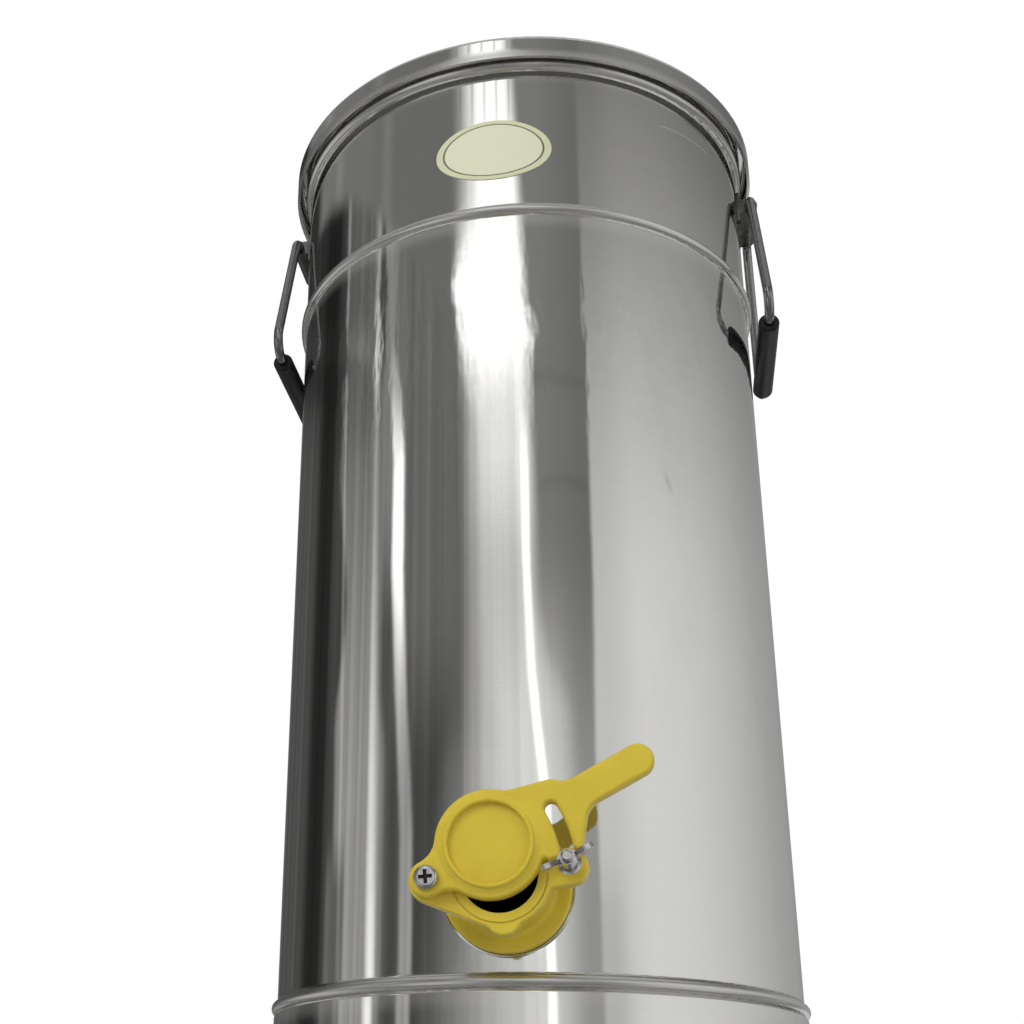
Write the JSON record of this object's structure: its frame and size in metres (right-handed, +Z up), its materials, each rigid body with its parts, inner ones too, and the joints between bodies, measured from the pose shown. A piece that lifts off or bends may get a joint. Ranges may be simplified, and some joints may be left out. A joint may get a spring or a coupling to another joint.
{
  "type": "honey settling tank",
  "caption": "Upright stainless settling tank for honey, with a lift-off lid, drop handles and a yellow swivel-slide outlet gate that a wing nut clamps.",
  "frame": {"origin": "on the drum's axis, in the plane that the foot stands on", "axes": "+Z up along the drum's axis, -Y out through the outlet gate, +X to the right seen from the gate"},
  "size_m": [0.355, 0.3987, 0.6993],
  "materials": {
    "stainless_sheet": "bright stainless sheet with fine rolling lines",
    "bright_rod": "bright drawn rod",
    "black_grip": "black, slightly satin",
    "fastener": "plain stainless",
    "seal_rubber": "matt",
    "yellow_plastic": "moulded, soft gloss",
    "label_film": "pale film with an oval line, blank"
  },
  "bodies": {
    "tank": {"tank_shell": "stainless_sheet", "tank_bottom": "stainless_sheet", "foot_ring": "stainless_sheet", "outlet_seat_ring": "stainless_sheet", "right_handle_lug": "stainless_sheet", "left_handle_lug": "stainless_sheet", "gate_gasket": "seal_rubber", "gate_body": "yellow_plastic", "gate_inner_washer": "yellow_plastic", "gate_lock_nut": "yellow_plastic", "pivot_screw": "fastener", "pivot_washer": "fastener", "pivot_nut": "fastener", "clamp_bolt": "fastener", "blank_label": "label_film"},
    "lid": {"lid_shell": "stainless_sheet", "lid_knob": "black_grip", "lid_knob_washer": "fastener", "lid_knob_screw": "fastener"},
    "right_handle": {"right_handle_bail": "bright_rod", "right_handle_grip": "black_grip"},
    "left_handle": {"left_handle_bail": "bright_rod", "left_handle_grip": "black_grip"},
    "gate_slide": {"gate_slide": "yellow_plastic"},
    "clamp_washer": {"clamp_washer": "fastener"},
    "wing_nut": {"wing_nut": "fastener"}
  },
  "joints": [
    {"name": "lid_lift", "type": "slide", "parent": "tank", "child": "lid", "axis": [0, 0, 1], "range_m": [0, 0.12]},
    {"name": "right_handle_swing", "type": "hinge", "parent": "tank", "child": "right_handle", "pos_m": [0.1675, 0, 0.615], "axis": [0, -1, 0], "range_deg": [-2, 138]},
    {"name": "left_handle_swing", "type": "hinge", "parent": "tank", "child": "left_handle", "pos_m": [-0.1675, 0, 0.615], "axis": [0, 1, 0], "range_deg": [-1, 139]},
    {"name": "gate_slide_turn", "type": "hinge", "parent": "tank", "child": "gate_slide", "pos_m": [-0.03606, -0.2028, 0.09234], "axis": [0, -1, 0], "range_deg": [-23.5, 50]},
    {"name": "clamp_washer_slide", "type": "slide", "parent": "tank", "child": "clamp_washer", "axis": [0, -1, 0], "range_m": [-0.0003, 0.0031]},
    {"name": "wing_nut_turn", "type": "hinge", "parent": "clamp_washer", "child": "wing_nut", "pos_m": [0.03606, -0.2115, 0.09865], "axis": [0, -1, 0], "range_deg": [-100, 1080]}
  ],
  "couplings": [
    {"joint": "clamp_washer_slide", "follows": "wing_nut_turn", "m_per_rad": 0.00015915}
  ]
}
